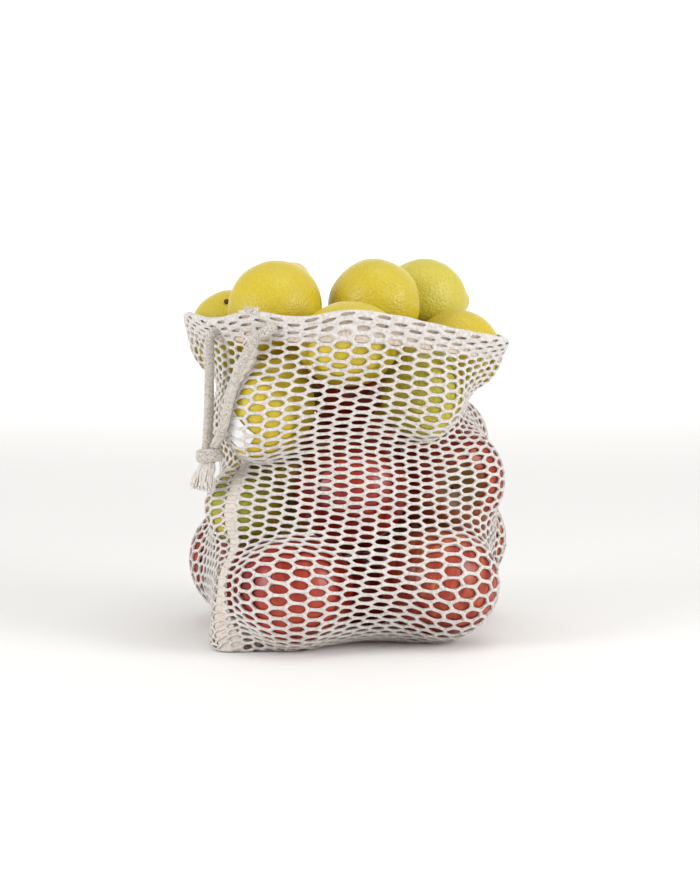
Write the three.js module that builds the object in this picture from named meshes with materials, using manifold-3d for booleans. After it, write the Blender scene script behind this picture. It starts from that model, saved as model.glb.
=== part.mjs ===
// A drawstring pouch of knitted cotton mesh, filled with apples and heaped with lemons above its mouth.
// Millimetres, +Z up, front towards -Y. The origin is on the floor, under the middle of the pouch.
import * as THREE from "three";
import { mergeVertices } from "three/addons/utils/BufferGeometryUtils.js";
import Module from "manifold-3d";

const wasm = await Module();
wasm.setup();

// The knitted mesh, in millimetres.
const NET_THICKNESS = 2.2; // one layer of the knit, pressed on the fruit
const WALL = 2.6; // the doubled hem that stands up round the mouth
const COLUMNS = 60; // steps round the pouch
const RINGS = 44; // steps from the bottom seam to the mouth
const PASSES = 500; // how often the net is drawn tight
const ACROSS = 1.0; // pull of the knit round the pouch
const ALONG = 0.8; // pull of the knit from seam to mouth

// The bottom seam lies on the floor between the two sewn corners.
const CORNER_FRONT = new THREE.Vector3(-73, -56, 0);
const CORNER_BACK = new THREE.Vector3(74, 22, 0);

// The line where the net leaves the floor, from the front corner round by the front, right, back and left.
const FOOTPRINT = [
  [-73, -56],
  [-52, -57],
  [-28, -55],
  [10, -24],
  [54, -30],
  [76, 14],
  [60, 54],
  [4, 70],
  [-62, 52],
  [-80, 4],
].map(([x, y]) => new THREE.Vector3(x, y, 0));
const FLOOR_RINGS = 6; // rings of the net that lie on the floor

// The foot of the side seam: its stiff stitching holds the empty front corner of the pouch up.
const SEAM_FOOT = [
  [-73, -56, 0],
  [-76, -54, 11],
  [-77, -48, 20],
  [-76, -38, 31],
  [-75, -28, 42],
].map((p) => new THREE.Vector3(...p));
const SEAM_FOOT_RINGS = 9; // rings of the net that follow the foot of the seam

// The mouth, from the side seam at the front left round by the front, right, back and left.
const MOUTH = [
  [-55, -62, 195],
  [-26, -72, 192],
  [2, -76, 197],
  [30, -71, 193],
  [59, -58, 186],
  [90, -24, 179],
  [98, 4, 176],
  [88, 50, 180],
  [64, 74, 182],
  [28, 83, 184],
  [-28, 83, 184],
  [-80, 60, 185],
  [-97, 28, 189],
  [-96, -4, 193],
  [-77, -42, 190],
].map((p) => new THREE.Vector3(...p));
const BOWL_DEPTH_RINGS = 3; // rings from the mouth down to the fruit that fills it
const LEMON_GAP = 0.35; // clearance between a lemon and its seat in the heap
const FUSE = 1.2; // how far a lemon below the hem swells, so that it joins the net that it leans on

// Fruit: centre, radius across, half length, height of a lemon's nipple, and the way the blossom end points.
const APPLE_HEIGHT = 0.94; // an apple's height over its width
const LEMON_LENGTH = 1.2; // a lemon's length over its width, without its nipple
const NIPPLE_HEIGHT = 0.18; // of the lemon's radius
const NIPPLE_WIDTH = 0.42; // the nipple's half angle seen from the lemon's middle, in radians
const fruit = (x, y, z, radius, axis, stretch, nipple) => ({
  centre: new THREE.Vector3(x, y, z),
  axis: new THREE.Vector3(...axis).normalize(),
  radius,
  length: radius * stretch,
  tip: radius * nipple,
});
const apple = (x, y, z, radius, axis) => fruit(x, y, z, radius, axis, APPLE_HEIGHT, 0);
const lemon = (x, y, z, radius, axis, stretch = LEMON_LENGTH) =>
  fruit(x, y, z, radius, axis, stretch, NIPPLE_HEIGHT);

// What fills the pouch and shapes the net, from the floor up.
const FILLING = [
  apple(-30, -52, 35.4, 33.8, [0.2, -0.45, -0.87]),
  apple(53, -28, 36.2, 34.5, [-0.15, -0.45, -0.88]),
  apple(-62, 48, 38, 35, [0.8, -0.5, 0.3]),
  apple(65, 58, 50.5, 32.5, [0.2, -0.9, 0.4]),
  apple(4, 66, 33, 31, [0.1, -0.3, -0.95]),
  apple(2, -28.5, 90, 33.5, [0.1, -0.45, -0.88]),
  apple(60.5, 9, 91.5, 32.5, [-0.26, 0.96, 0.05]),
  lemon(-57, -22, 79.5, 24, [0.2, 1, 0.1], 1.15),
  lemon(-54, 55, 104, 24, [0.3, 1, 0], 1.1),
  lemon(-57, 8, 128, 24, [0.2, 0.9, 0.3], 1.1),
  apple(0, 37, 102, 32, [0.5, 0.5, 0.7]),
  apple(58, 66, 112, 29, [0.6, 0.2, 0.8]),
  lemon(-44.5, -42, 137, 25.5, [0.5, 0.1, 1], 1.15),
];

// The lemons that come up to the mouth, below its hem.
const TOPPING = [
  lemon(42.8, -34, 147.5, 23.5, [0.1, 0, 1]),
  lemon(-2, 7, 147.8, 23, [1, 0.2, 0]),
  lemon(30, 59, 156.5, 23, [1, -0.3, 0], 1.12),
  lemon(-26, 58, 158, 23, [1, 0.2, 0], 1.1),
];

// The lemons that stand out of the mouth.
const LEMONS = {
  lemon_left: lemon(-42.5, -11, 193.8, 26.9, [0.45, 0.5, 0.74], 1.12),
  lemon_middle: lemon(16, 5, 196.4, 26.5, [-0.3, 0.9, -0.3], 1.15),
  lemon_right_back: lemon(47.5, 50, 199.5, 23.5, [0.93, 0.35, -0.1], 1.1),
  lemon_right_low: lemon(66.5, 14, 169.2, 23.5, [-0.9, 0.25, 0.3], 1.08),
  lemon_left_back: lemon(-69.5, 34, 178, 25, [0.07, 0.72, -0.69], 1.15),
  lemon_front: lemon(1, -50, 175.5, 24, [1, 0.1, 0.1]),
};

// The drawstring: two ends of a braided cord come out of the hem and hang to one knot with a frayed tassel.
const CORD_DIAMETER = 6;
const CORD_SIDES = 10;
const CORD_STEPS = 10;
const CORD_ROUTES = {
  drawstring_left: [
    [-78.5, -40.2, 184],
    [-78.5, -39.7, 179.5],
    [-78.5, -39.2, 175],
    [-78.5, -39.2, 170.5],
    [-78.5, -39.2, 166],
    [-78.5, -39.4, 161.5],
    [-78.5, -39.7, 157],
    [-78.5, -40.2, 152.5],
    [-78.6, -40.8, 148],
    [-78.6, -41.4, 143.5],
    [-78.7, -42.1, 139],
    [-78.8, -42.9, 134.5],
    [-79, -43.8, 130],
    [-79.2, -44.7, 125.5],
    [-79.4, -45.5, 121.3],
    [-79.6, -46, 118],
  ],
  drawstring_right: [
    [-39, -70.6, 183],
    [-43, -69.6, 183.6],
    [-47, -67.6, 182.4],
    [-51, -64.4, 179.2],
    [-54.2, -61.4, 174.4],
    [-57.2, -59.8, 168.8],
    [-60.2, -59.8, 162.6],
    [-62.6, -61, 156.2],
    [-64.6, -62.6, 149.8],
    [-66.2, -63.6, 143.4],
    [-67.6, -63.4, 137],
    [-68.9, -62, 131],
    [-70.9, -58.4, 125.6],
    [-72.8, -54.3, 121.4],
    [-74.2, -51.2, 118.9],
  ],
};
const KNOT_CENTRE = new THREE.Vector3(-78.2, -47.8, 112);
const KNOT_RADIUS = 8; // over the two turns of cord that make the knot
const KNOT_WAIST = 7.2; // in the groove between them
const KNOT_HEIGHT = 10.4;
const TASSEL_TOP = new THREE.Vector3(-79.2, -47.4, 105.4);
const TASSEL_LENGTH = 16;
const TASSEL_NECK = 3.6; // radius where the cord ends leave the knot
const TASSEL_SKIRT = 7.2; // radius of the frayed ends
const TASSEL_LEAN = new THREE.Vector3(-0.25, 0, -1).normalize();

const COLOURS = { cotton: 0xddd6cd, lemon: 0xdcc244, cord: 0xc9bfb2 };
const finish = (color, roughness) => new THREE.MeshStandardMaterial({ color, roughness, metalness: 0 });
const cotton = finish(COLOURS.cotton, 0.95);
const lemonPeel = finish(COLOURS.lemon, 0.45);
const cordCotton = finish(COLOURS.cord, 0.95);

// The point of the bottom seam that a column starts from: the front and back panels share it.
function seamPoint(column) {
  const half = COLUMNS / 2;
  const share = (column <= half ? column : COLUMNS - column) / half;
  return CORNER_FRONT.clone().lerp(CORNER_BACK, share);
}

// Evenly spaced points on a closed curve, one for each column.
function roundPoints(corners) {
  return new THREE.CatmullRomCurve3(corners, true, "centripetal").getSpacedPoints(COLUMNS);
}

// The net before it is drawn tight: flat on the floor inside its footprint, then a wide drum up to the mouth.
function looseNet() {
  const footprint = roundPoints(FOOTPRINT);
  const mouth = roundPoints(MOUTH);
  const drum = 40; // how far the drum stands off the straight line from footprint to mouth
  return Array.from({ length: RINGS + 1 }, (_, ring) =>
    Array.from({ length: COLUMNS }, (_, column) => {
      if (ring <= FLOOR_RINGS) return seamPoint(column).lerp(footprint[column], ring / FLOOR_RINGS);
      const rise = (ring - FLOOR_RINGS) / (RINGS - FLOOR_RINGS);
      const out = mouth[column].clone().setZ(0).normalize();
      return footprint[column]
        .clone()
        .lerp(mouth[column], rise)
        .addScaledVector(out, drum * Math.sin(Math.PI * rise));
    }),
  );
}

// Moves a point that is inside a fruit, or under the floor, out to the knit's outer face.
function pushOut(point, formers) {
  for (const { centre, radius, length, tip, axis } of formers) {
    const from = point.clone().sub(centre);
    const along = from.dot(axis);
    const across = Math.sqrt(Math.max(0, from.lengthSq() - along * along));
    const reach = (along > 0 ? length + tip : length) + NET_THICKNESS;
    const depth = Math.hypot(along / reach, across / (radius + NET_THICKNESS));
    if (depth < 1) point.copy(centre).addScaledVector(from, 1 / depth);
  }
  point.z = Math.max(0, point.z);
}

// Draws the net tight: each pass moves every point to the mean of its neighbours, and then out of the fruit.
function tightNet() {
  const net = looseNet();
  const formers = [...FILLING, ...TOPPING, ...Object.values(LEMONS)];
  const pull = 2 * (ACROSS + ALONG);
  const foot = new THREE.CatmullRomCurve3(SEAM_FOOT).getSpacedPoints(SEAM_FOOT_RINGS);
  foot.forEach((point, step) => net[FLOOR_RINGS + step][0].copy(point));
  for (let pass = 0; pass < PASSES; pass++) {
    for (let ring = FLOOR_RINGS + 1; ring < RINGS; ring++) {
      const first = ring <= FLOOR_RINGS + SEAM_FOOT_RINGS ? 1 : 0;
      for (let column = first; column < COLUMNS; column++) {
        const left = net[ring][(column + COLUMNS - 1) % COLUMNS];
        const right = net[ring][(column + 1) % COLUMNS];
        const below = net[ring - 1][column];
        const above = net[ring + 1][column];
        const point = net[ring][column];
        point
          .copy(left)
          .add(right)
          .multiplyScalar(ACROSS / pull)
          .addScaledVector(below, ALONG / pull)
          .addScaledVector(above, ALONG / pull);
        pushOut(point, formers);
      }
    }
  }
  return net;
}

// A closed geometry from rings of points that each have the same count, with a fan over the last ring.
function skin(rings) {
  const count = rings[0].length;
  const positions = rings.flat().flatMap((p) => [p.x, p.y, p.z]);
  const faces = [];
  for (let ring = 0; ring + 1 < rings.length; ring++) {
    for (let i = 0; i < count; i++) {
      const a = ring * count + i;
      const b = ring * count + ((i + 1) % count);
      faces.push(a, b, b + count, a, b + count, a + count);
    }
  }
  const last = rings.at(-1);
  const middle = last.reduce((sum, p) => sum.add(p), new THREE.Vector3()).divideScalar(count);
  positions.push(middle.x, middle.y, middle.z);
  const tip = positions.length / 3 - 1;
  for (let i = 0; i < count; i++) {
    const a = (rings.length - 1) * count + i;
    faces.push(a, (rings.length - 1) * count + ((i + 1) % count), tip);
  }
  return new THREE.BufferGeometry()
    .setAttribute("position", new THREE.Float32BufferAttribute(positions, 3))
    .setIndex(faces);
}

// The pouch and the heap in it as one skin: up the net, over the hem, down inside it, and across the heap.
function pouchGeometry() {
  const net = tightNet();
  const inner = [];
  for (let ring = RINGS; ring >= RINGS - BOWL_DEPTH_RINGS; ring--) {
    inner.push(
      net[ring].map((p, column) => {
        const left = net[ring][(column + COLUMNS - 1) % COLUMNS];
        const right = net[ring][(column + 1) % COLUMNS];
        const inward = left.clone().sub(right).cross(new THREE.Vector3(0, 0, 1)).normalize();
        return p.clone().addScaledVector(inward, WALL);
      }),
    );
  }
  return skin([...net, ...inner]);
}

// Half the outline of a lemon, from its stem end to its nipple, is turned about the lemon's length.
const PROFILE_STEPS = 12;
const LEMON_SIDES = 18;

function lemonGeometry({ radius, length, tip }, clearance = 0) {
  const outline = [];
  for (let step = 0; step <= PROFILE_STEPS; step++) {
    const turn = (Math.PI * step) / PROFILE_STEPS;
    const nipple = tip * Math.exp(-(((Math.PI - turn) / NIPPLE_WIDTH) ** 2));
    const end = step === 0 || step === PROFILE_STEPS;
    const across = end ? 0 : (radius + clearance) * Math.sin(turn);
    outline.push(new THREE.Vector2(across, -(length + clearance) * Math.cos(turn) + nipple));
  }
  return new THREE.LatheGeometry(outline, LEMON_SIDES);
}

// A lathe turns about Y, so Y goes to the piece's own axis.
function place(mesh, { centre, axis }) {
  mesh.position.copy(centre);
  mesh.quaternion.setFromUnitVectors(new THREE.Vector3(0, 1, 0), axis);
  mesh.updateMatrixWorld(true);
  return mesh;
}

// A closed mesh as a solid that can be cut.
function solidOf(mesh) {
  const bare = mesh.geometry.clone();
  bare.deleteAttribute("normal");
  bare.deleteAttribute("uv");
  const merged = mergeVertices(bare.applyMatrix4(mesh.matrixWorld), 1e-3);
  return new wasm.Manifold(
    new wasm.Mesh({
      numProp: 3,
      vertProperties: merged.getAttribute("position").array,
      triVerts: new Uint32Array(merged.index.array),
    }),
  );
}

function geometryOf(solid) {
  const { vertProperties, triVerts } = solid.getMesh();
  return new THREE.BufferGeometry()
    .setAttribute("position", new THREE.BufferAttribute(vertProperties, 3))
    .setIndex(new THREE.BufferAttribute(triVerts, 1));
}

// The pouch with a seat cut in its heap for every lemon that stands out.
function pouchMesh() {
  let solid = solidOf(new THREE.Mesh(pouchGeometry()));
  for (const one of TOPPING) {
    solid = solid.add(solidOf(place(new THREE.Mesh(lemonGeometry(one, FUSE)), one)));
  }
  for (const one of Object.values(LEMONS)) {
    solid = solid.subtract(solidOf(place(new THREE.Mesh(lemonGeometry(one, LEMON_GAP)), one)));
  }
  return new THREE.Mesh(geometryOf(solid), cotton);
}

// A free end of the drawstring: a round section along its route.
function cordMesh(route) {
  const section = new THREE.Shape(
    Array.from({ length: CORD_SIDES }, (_, side) => {
      const turn = (2 * Math.PI * side) / CORD_SIDES;
      return new THREE.Vector2(Math.cos(turn), Math.sin(turn)).multiplyScalar(CORD_DIAMETER / 2);
    }),
  );
  const path = new THREE.CatmullRomCurve3(route.map((p) => new THREE.Vector3(...p)));
  const tube = new THREE.ExtrudeGeometry(section, { steps: CORD_STEPS, extrudePath: path });
  return new THREE.Mesh(tube, cordCotton);
}

// A turned piece on the cord: pairs of radius and height, closed on the axis at both ends.
function turnedMesh(outline, centre, axis) {
  const sides = 16;
  const points = outline.map(([radius, height]) => new THREE.Vector2(radius, height));
  return place(new THREE.Mesh(new THREE.LatheGeometry(points, sides), cordCotton), { centre, axis });
}

// The knot: two turns of cord round the strands, with a groove between them.
function knotMesh() {
  const half = KNOT_HEIGHT / 2;
  const outline = [
    [0, -half],
    [0.7 * KNOT_RADIUS, -half],
    [KNOT_RADIUS, -0.72 * half],
    [KNOT_RADIUS, -0.28 * half],
    [KNOT_WAIST, 0],
    [KNOT_RADIUS, 0.28 * half],
    [KNOT_RADIUS, 0.72 * half],
    [0.7 * KNOT_RADIUS, half],
    [0, half],
  ];
  return turnedMesh(outline, KNOT_CENTRE, new THREE.Vector3(0, 0, 1));
}

// The tassel: the cord's two frayed ends, spreading below the knot.
function tasselMesh() {
  const outline = [
    [0, 0],
    [TASSEL_NECK, 0],
    [0.5 * (TASSEL_NECK + TASSEL_SKIRT), 0.45 * TASSEL_LENGTH],
    [TASSEL_SKIRT, 0.85 * TASSEL_LENGTH],
    [0.8 * TASSEL_SKIRT, TASSEL_LENGTH],
    [0, 0.96 * TASSEL_LENGTH],
  ];
  return turnedMesh(outline, TASSEL_TOP, TASSEL_LEAN);
}

const pouch = new THREE.Group();

function add(name, mesh) {
  mesh.name = name;
  pouch.add(mesh);
}

add("pouch", pouchMesh());
for (const [name, one] of Object.entries(LEMONS)) {
  add(name, place(new THREE.Mesh(lemonGeometry(one), lemonPeel), one));
}
for (const [name, route] of Object.entries(CORD_ROUTES)) {
  add(name, cordMesh(route));
}
add("drawstring_knot", knotMesh());
add("drawstring_tassel", tasselMesh());

export default pouch;
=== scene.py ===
"""An open drawstring pouch of knitted cotton mesh, filled with apples and lemons, on a pale floor."""
import math
from collections import namedtuple

import bmesh
import bpy
import numpy as np
from mathutils import Matrix, Vector, noise
from mathutils.bvhtree import BVHTree


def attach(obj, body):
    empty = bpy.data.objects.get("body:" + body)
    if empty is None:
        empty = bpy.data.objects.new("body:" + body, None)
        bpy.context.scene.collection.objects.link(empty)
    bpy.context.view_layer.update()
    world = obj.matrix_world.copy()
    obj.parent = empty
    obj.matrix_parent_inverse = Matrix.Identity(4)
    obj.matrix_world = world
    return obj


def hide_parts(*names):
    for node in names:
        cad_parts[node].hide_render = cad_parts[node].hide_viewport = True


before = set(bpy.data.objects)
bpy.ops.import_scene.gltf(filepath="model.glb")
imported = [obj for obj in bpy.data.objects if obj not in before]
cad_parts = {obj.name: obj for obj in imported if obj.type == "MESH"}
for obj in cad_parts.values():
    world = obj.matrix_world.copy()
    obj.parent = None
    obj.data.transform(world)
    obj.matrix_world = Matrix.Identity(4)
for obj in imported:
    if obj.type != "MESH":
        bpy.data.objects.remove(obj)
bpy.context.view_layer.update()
scene = bpy.context.scene
draw = np.random.default_rng(11)

# The drawn net, in metres. Its sizes and curves are those of the solid pouch.
NET_THICKNESS = 0.0022
HALF = NET_THICKNESS / 2
COLUMNS = 60  # steps of the drawn net round the pouch
RINGS = 44  # steps from the bottom seam to the mouth
SWEEPS = 1000  # how often each half of the net is drawn tight
ACROSS = 1.0  # pull of the knit round the pouch
ALONG = 0.8  # pull of the knit from seam to mouth
DRUM = 0.040  # how far the slack net stands off before it is drawn tight
CORNER_FRONT = (-0.073, -0.056, 0.0)  # where the bottom seam starts
CORNER_BACK = (0.074, 0.022, 0.0)  # where it ends
FLOOR_RINGS = 6  # steps that lie on the floor
FOOTPRINT = (  # where the net leaves the floor
    (-0.073, -0.056, 0.0), (-0.052, -0.057, 0.0), (-0.028, -0.055, 0.0), (0.010, -0.024, 0.0),
    (0.054, -0.030, 0.0), (0.076, 0.014, 0.0), (0.060, 0.054, 0.0), (0.004, 0.070, 0.0),
    (-0.062, 0.052, 0.0), (-0.080, 0.004, 0.0),
)
SEAM_FOOT_RINGS = 9  # steps in the foot of the side seam
SEAM_FOOT = (  # the stiff foot of the side seam, from the corner up
    (-0.073, -0.056, 0.0), (-0.076, -0.054, 0.011), (-0.077, -0.048, 0.020), (-0.076, -0.038, 0.031),
    (-0.075, -0.028, 0.042),
)
MOUTH = (  # the rim
    (-0.055, -0.062, 0.195), (-0.026, -0.072, 0.192), (0.002, -0.076, 0.197), (0.030, -0.071, 0.193),
    (0.059, -0.058, 0.186), (0.090, -0.024, 0.179), (0.098, 0.004, 0.176), (0.088, 0.050, 0.180),
    (0.064, 0.074, 0.182), (0.028, 0.083, 0.184), (-0.028, 0.083, 0.184), (-0.080, 0.060, 0.185),
    (-0.097, 0.028, 0.189), (-0.096, -0.004, 0.193), (-0.077, -0.042, 0.190),
)

# The holes of the knit, also in metres.
HOLE_COLUMNS = 56  # holes round the pouch, in staggered columns
WALL_ROWS = 45  # rows of holes from the bottom seam to the mouth
HEM_ROWS = 3  # of these, the rows in the doubled hem
FOLD = WALL_ROWS + 0.25  # where the hem is folded, with its turned-in holes between the outer ones
FINE = 4  # steps of the cloth's grid for each hole
CALMING = 40  # how often a copy of the net is smoothed, on which the holes are spaced
CARRY = 0.022  # how far a hole may be carried from there to the drawn net
LEVELLING = 800  # how often the rows of holes are moved to lie level
LEVEL = 0.7  # how much level rows count beside evenly spaced ones
HEM_ROW = 0.0050  # height of a row in the hem
COLUMN_PITCH = 0.0094  # from one column of holes to the next, where the knit is not strained
ROW_PITCH = (0.0063, 0.0038)  # the same for the rows, which get lower from the foot to the mouth
ROW_HEIGHTS = ROW_PITCH[0] + (ROW_PITCH[1] - ROW_PITCH[0]) * np.linspace(0, 1, WALL_ROWS) ** 2
TAUT = 0.78  # share of these distances at which the threads of the filled net stop pulling
SEAM_ROWS = 2  # rows that the bottom seam holds in their places
SETTLING = 220  # how often the holes slide on the drawn net towards these distances
SLIDE = 0.10  # how much of the strain each slide takes off
MOMENTUM = 0.8  # how much of a slide goes on in the next
# The side seam strays round the pouch: at these rows, by these columns.
SEAM_DRIFT = ((0, 17.7, 22.3, 26.4, 30.5, 36.3, 45), (0, 0, -0.5, -2.0, -1.4, -1.0, -1.0))
SEAM_REACH = 12  # points of the fine grid that it may stray over
ZIGZAG = 1 / 6  # how far the corners of the cells lie to either side of a straight column, in columns
STRAY = 0.05  # how far they stray from there, in columns and rows
THREAD = 0.0017  # width of a thread between two holes
HEM_THREAD = 0.0038  # the same in the hem, where the knit is not stretched
THREAD_MOST = 0.30  # share of a cell's room that half a thread may take
HEM_THREAD_MOST = 0.46
THREAD_RANGE = (0.92, 1.08)  # how the threads vary in width
YARN_SHARE = 0.65  # thickness of the threads, as a share of the drawn net's
SHUT_ROOM = 0.0014  # a cell with less room than this is bunched shut
HOLE_CORNER = 1.0  # how sharp the corners of the holes stay
RAGGED = 0.00018  # how far the loops of the knit stray from a straight edge

# The fruit: middle, radius, the way the blossom end points, half the length, and height of the nipple.
Fruit = namedtuple("Fruit", "centre radius axis length tip")
APPLE_HEIGHT = 0.94  # an apple's height as a share of its width
LEMON_LENGTH = 1.2  # a lemon's length as a share of its width
NIPPLE_HEIGHT = 0.13  # as a share of the lemon's radius
NIPPLE_WIDTH = 0.31  # half angle seen from the lemon's middle, in radians


def apple(x, y, z, radius, axis):
    return Fruit(Vector((x, y, z)), radius, Vector(axis).normalized(), radius * APPLE_HEIGHT, 0.0)


def lemon(x, y, z, radius, axis, stretch=LEMON_LENGTH):
    centre, way = Vector((x, y, z)), Vector(axis).normalized()
    return Fruit(centre, radius, way, radius * stretch, radius * NIPPLE_HEIGHT)


APPLES = {
    "apple_low_left": apple(-0.030, -0.052, 0.0354, 0.0338, (0.2, -0.45, -0.87)),
    "apple_low_right": apple(0.053, -0.028, 0.0362, 0.0345, (-0.15, -0.45, -0.88)),
    "apple_left_behind": apple(-0.062, 0.048, 0.038, 0.035, (0.8, -0.5, 0.3)),
    "apple_right_behind": apple(0.065, 0.058, 0.0505, 0.0325, (0.2, -0.9, 0.4)),
    "apple_low_middle": apple(0.010, 0.012, 0.0252, 0.0240, (0.3, -0.3, 0.9)),
    "apple_between": apple(0.032, 0.031, 0.068, 0.0165, (0.2, 0.8, 0.6)),
    "apple_back": apple(0.004, 0.066, 0.033, 0.031, (0.1, -0.3, -0.95)),
    "apple_middle": apple(0.002, -0.0285, 0.090, 0.0335, (0.1, -0.45, -0.88)),
    "apple_right": apple(0.0605, 0.009, 0.0915, 0.0325, (-0.26, 0.96, 0.05)),
    "apple_core": apple(0.0012, 0.037, 0.102, 0.033, (0.5, 0.5, 0.7)),
    "apple_top": apple(-0.002, 0.010, 0.1478, 0.0245, (0.9, 0.4, 0.3)),
    "apple_upper_right": apple(0.058, 0.066, 0.112, 0.029, (0.6, 0.2, 0.8)),
}
INNER_LEMONS = {
    "lemon_low_left": lemon(-0.057, -0.022, 0.0795, 0.024, (0.2, 1.0, 0.1), 1.15),
    "lemon_back_left": lemon(-0.054, 0.055, 0.104, 0.024, (0.3, 1.0, 0.0), 1.1),
    "lemon_side_left": lemon(-0.057, 0.008, 0.128, 0.024, (0.2, 0.9, 0.3), 1.1),
    "lemon_upper_left": lemon(-0.0445, -0.042, 0.137, 0.0255, (0.5, 0.1, 1.0), 1.15),
    "lemon_upper_right": lemon(0.0428, -0.034, 0.1475, 0.0235, (0.1, 0.0, 1.0)),
    "lemon_under_right": lemon(0.030, 0.059, 0.1565, 0.023, (1.0, -0.3, 0.0), 1.12),
    "lemon_under_left": lemon(-0.026, 0.058, 0.158, 0.023, (1.0, 0.2, 0.0), 1.1),
    "lemon_behind_left": lemon(-0.033, 0.018, 0.076, 0.0155, (0.1, 0.1, 1.0), 1.6),
    "lemon_back_middle": lemon(0.014, 0.073, 0.080, 0.0135, (1.0, 0.0, 0.2), 1.3),
    "lemon_behind_top": lemon(0.020, 0.070, 0.122, 0.0145, (1.0, 0.0, 0.0), 1.1),
}
TOP_LEMONS = {
    "lemon_left": lemon(-0.0425, -0.011, 0.1938, 0.0269, (0.45, 0.5, 0.74), 1.12),
    "lemon_middle": lemon(0.016, 0.005, 0.1964, 0.0265, (-0.3, 0.9, -0.3), 1.15),
    "lemon_right_back": lemon(0.0475, 0.050, 0.1995, 0.0235, (0.93, 0.35, -0.1), 1.1),
    "lemon_right_low": lemon(0.0665, 0.014, 0.1692, 0.0235, (-0.9, 0.25, 0.3), 1.08),
    "lemon_left_back": lemon(-0.0695, 0.034, 0.178, 0.025, (0.07, 0.72, -0.69), 1.15),
    "lemon_front": lemon(0.001, -0.050, 0.1755, 0.024, (1.0, 0.1, 0.1)),
}
ALL_FRUIT = [*APPLES.values(), *INNER_LEMONS.values(), *TOP_LEMONS.values()]

# The drawstring: its two free ends hang from the hem to one knot.
CORD_DIAMETER = 0.006
CORD_LEFT = (  # from the hem's face to the knot
    (-0.0785, -0.0397, 0.1795), (-0.0785, -0.0392, 0.1750), (-0.0785, -0.0392, 0.1705),
    (-0.0785, -0.0392, 0.1660), (-0.0785, -0.0394, 0.1615), (-0.0785, -0.0397, 0.1570),
    (-0.0785, -0.0402, 0.1525), (-0.0786, -0.0408, 0.1480), (-0.0786, -0.0414, 0.1435),
    (-0.0787, -0.0421, 0.1390), (-0.0788, -0.0429, 0.1345), (-0.0790, -0.0438, 0.1300),
    (-0.0792, -0.0447, 0.1255), (-0.0794, -0.0455, 0.1213), (-0.0796, -0.0460, 0.1180),
)
CORD_RIGHT = (
    (-0.0430, -0.0696, 0.1836), (-0.0470, -0.0676, 0.1824), (-0.0510, -0.0644, 0.1792),
    (-0.0542, -0.0614, 0.1744), (-0.0572, -0.0598, 0.1688), (-0.0602, -0.0598, 0.1626),
    (-0.0626, -0.0610, 0.1562), (-0.0646, -0.0626, 0.1498), (-0.0662, -0.0636, 0.1434),
    (-0.0676, -0.0634, 0.1370), (-0.0689, -0.0620, 0.1310), (-0.0709, -0.0584, 0.1256),
    (-0.0728, -0.0543, 0.1214), (-0.0742, -0.0512, 0.1189),
)
KNOT_CENTRE = Vector((-0.0782, -0.0478, 0.112))
KNOT_TURN_RADIUS = 0.0050  # from the knot's middle to the middle of the cord wound round it
KNOT_HEIGHT = 0.00468  # from where that cord starts to where it ends
KNOT_TURNS = 2.1
KNOT_START = 0.6  # angle at which it starts, in radians
TASSEL_TOP = Vector((-0.0790, -0.0474, 0.1085))
TASSEL_LENGTH = 0.0170
TASSEL_NECK = 0.0030  # its radius below the knot
TASSEL_SKIRT = 0.0066  # its radius at the end
TASSEL_LEAN = Vector((-0.25, 0.0, -1.0)).normalized()
TASSEL_YARNS = 260
TASSEL_YARN = 0.00060  # radius of a yarn
TASSEL_WAVE = 0.0013  # how far a yarn waves
TASSEL_RANGE = (0.72, 1.0)  # how the yarns vary in length


# Colours and materials. The sizes of their grain are in metres.
RIND_PATCH = 0.030  # greener patches of a lemon
RIND_PORE = 0.0014  # from one oil pore to the next
RIND_PEBBLE = 0.0024  # unevenness between the pores
SKIN_SIDE = 0.045  # redder sides of an apple
SKIN_DOT = 0.0042  # from one pale dot to the next
SKIN_STREAK = (9.0, 9.0, 1.1)  # streaks round an apple, and along it
DOT_TAN = "#d8a878"
CAVITY_BROWN = "#8a6a36"
PAPER_GRAIN = 0.02


def linear(colour):
    """The linear colour of an sRGB hex value."""
    channels = [int(colour[i : i + 2], 16) / 255 for i in (1, 3, 5)]
    return [c / 12.92 if c <= 0.04045 else ((c + 0.055) / 1.055) ** 2.4 for c in channels] + [1.0]


def node(tree, kind, inputs=None, stops=(), **settings):
    """Adds a node with its settings. An input is a value or an output to link. Stops colour a ramp."""
    made = tree.nodes.new("ShaderNode" + kind)
    for name, value in settings.items():
        setattr(made, name, value)
    for name, value in (inputs or {}).items():
        if isinstance(value, bpy.types.NodeSocket):
            tree.links.new(value, made.inputs[name])
        else:
            made.inputs[name].default_value = value
    for index, (position, colour) in enumerate(stops):
        elements = made.color_ramp.elements
        element = elements[index] if index < 2 else elements.new(position)
        element.position = position
        element.color = linear(colour)
    return made


def blend(tree, share, first, second):
    """The colour between two colours, by the share of the second."""
    sockets = {0: share, 6: first, 7: second}  # the factor and the two colours of a colour mix
    return node(tree, "Mix", sockets, data_type="RGBA").outputs[2]


def grain(tree, place, size, detail, roughness=0.5):
    """Soft noise with a grain of some size."""
    inputs = {"Vector": place, "Scale": 1 / size, "Detail": detail, "Roughness": roughness}
    return node(tree, "TexNoise", inputs).outputs["Fac"]


def smooth_step(tree, value, low, high, most=1.0):
    """Nothing at a low value, and smoothly more to its most at a high one."""
    inputs = {"Value": value, "From Min": low, "From Max": high, "To Max": most}
    return node(tree, "MapRange", inputs, interpolation_type="SMOOTHSTEP").outputs["Result"]


def bump(tree, height, strength, distance):
    """The way a surface faces that is raised a little by some height."""
    inputs = {"Height": height, "Strength": strength, "Distance": distance}
    return node(tree, "Bump", inputs).outputs["Normal"]


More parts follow.
